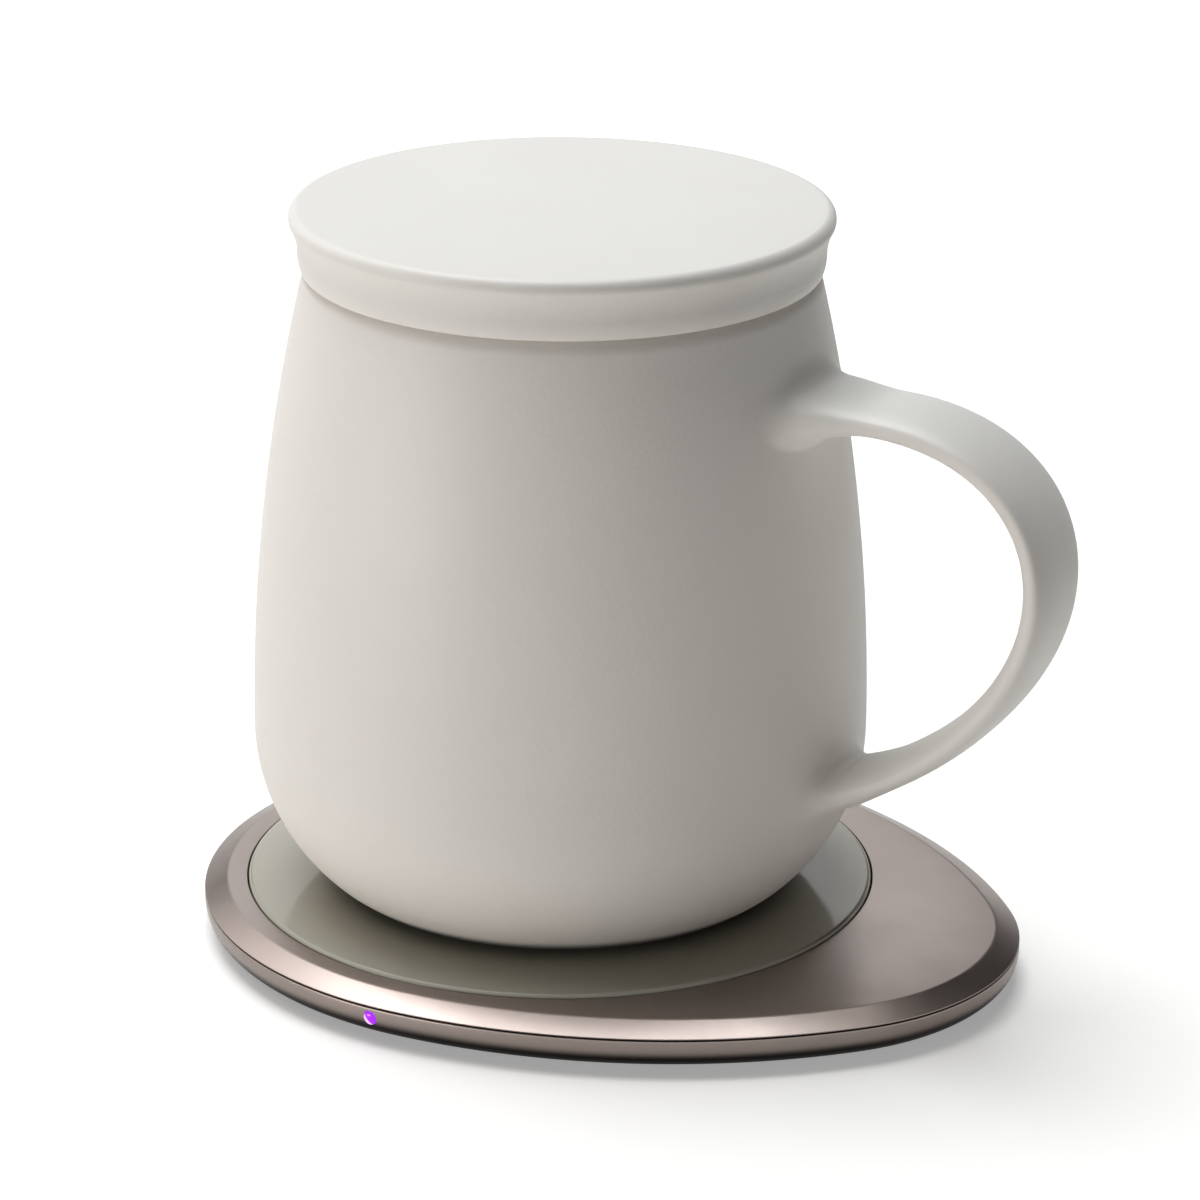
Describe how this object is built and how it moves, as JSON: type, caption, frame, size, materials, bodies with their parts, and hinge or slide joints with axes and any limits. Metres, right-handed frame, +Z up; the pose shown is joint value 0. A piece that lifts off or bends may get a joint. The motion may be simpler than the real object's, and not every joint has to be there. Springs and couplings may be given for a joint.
{
  "type": "heated mug with warming pad",
  "caption": "Lidded ceramic mug with a strap handle and a heater sealed in its base, standing on an egg-shaped metal warming pad with a glass disc and an indicator lamp.",
  "frame": {"origin": "on the table, under the mug's axis, at the pad's rest face", "axes": "+Z up along the mug's axis, +X towards the pad's tip and the mug's handle, the lamp on the -Y side and the power inlet on the +Y side"},
  "size_m": [0.1394, 0.1122, 0.1164],
  "materials": {
    "bronze_metal": "satin anodised warm bronze grey",
    "disc_glass": "pale grey glass, coated on its underside",
    "dark_rubber": "matte dark silicone",
    "adhesive": "black mounting tape",
    "dark_plastic": "moulded black",
    "ferrite": "matte ferrite sheet",
    "copper_wire": "enamelled copper",
    "probe": "potted bead",
    "board": "green solder mask",
    "screw_steel": "bright plated",
    "led_body": "white package with a clear face",
    "lamp_lens": "clear lens lit violet",
    "mug_ceramic": "matte warm white glaze",
    "heater_metal": "printed resistance film",
    "insulation": "pressed fibre sheet",
    "cover_plastic": "moulded warm white",
    "pale_rubber": "translucent grey silicone"
  },
  "bodies": {
    "pad": {"top_plate": "bronze_metal", "base_tray": "bronze_metal", "case_gasket": "dark_rubber", "glass_disc": "disc_glass", "glass_adhesive": "adhesive", "foot_pad": "dark_rubber", "coil_carrier": "dark_plastic", "transmitter_shield": "ferrite", "transmitter_coil": "copper_wire", "disc_temperature_probe": "probe", "circuit_board": "board", "board_components": "dark_plastic", "board_screws": "screw_steel", "usb_socket_shell": "screw_steel", "usb_socket_tongue": "dark_plastic", "indicator_led": "led_body", "indicator_light_pipe": "lamp_lens", "case_screws": "screw_steel"},
    "mug": {"mug_body": "mug_ceramic", "mug_handle": "mug_ceramic", "heating_film": "heater_metal", "insulation_pad": "insulation", "receiver_shield": "ferrite", "receiver_coil": "copper_wire", "receiver_board": "board", "receiver_components": "dark_plastic", "heater_temperature_probe": "probe", "base_cover": "cover_plastic", "base_seal": "pale_rubber", "mug_foot_ring": "pale_rubber"},
    "lid": {"lid_cap": "mug_ceramic", "lid_seal": "pale_rubber"}
  },
  "joints": [
    {"name": "mug_lift", "type": "slide", "parent": "pad", "child": "mug", "axis": [0, 0, 1], "range_m": [0, 0.12]},
    {"name": "lid_lift", "type": "slide", "parent": "mug", "child": "lid", "axis": [0, 0, 1], "range_m": [0, 0.06]}
  ]
}
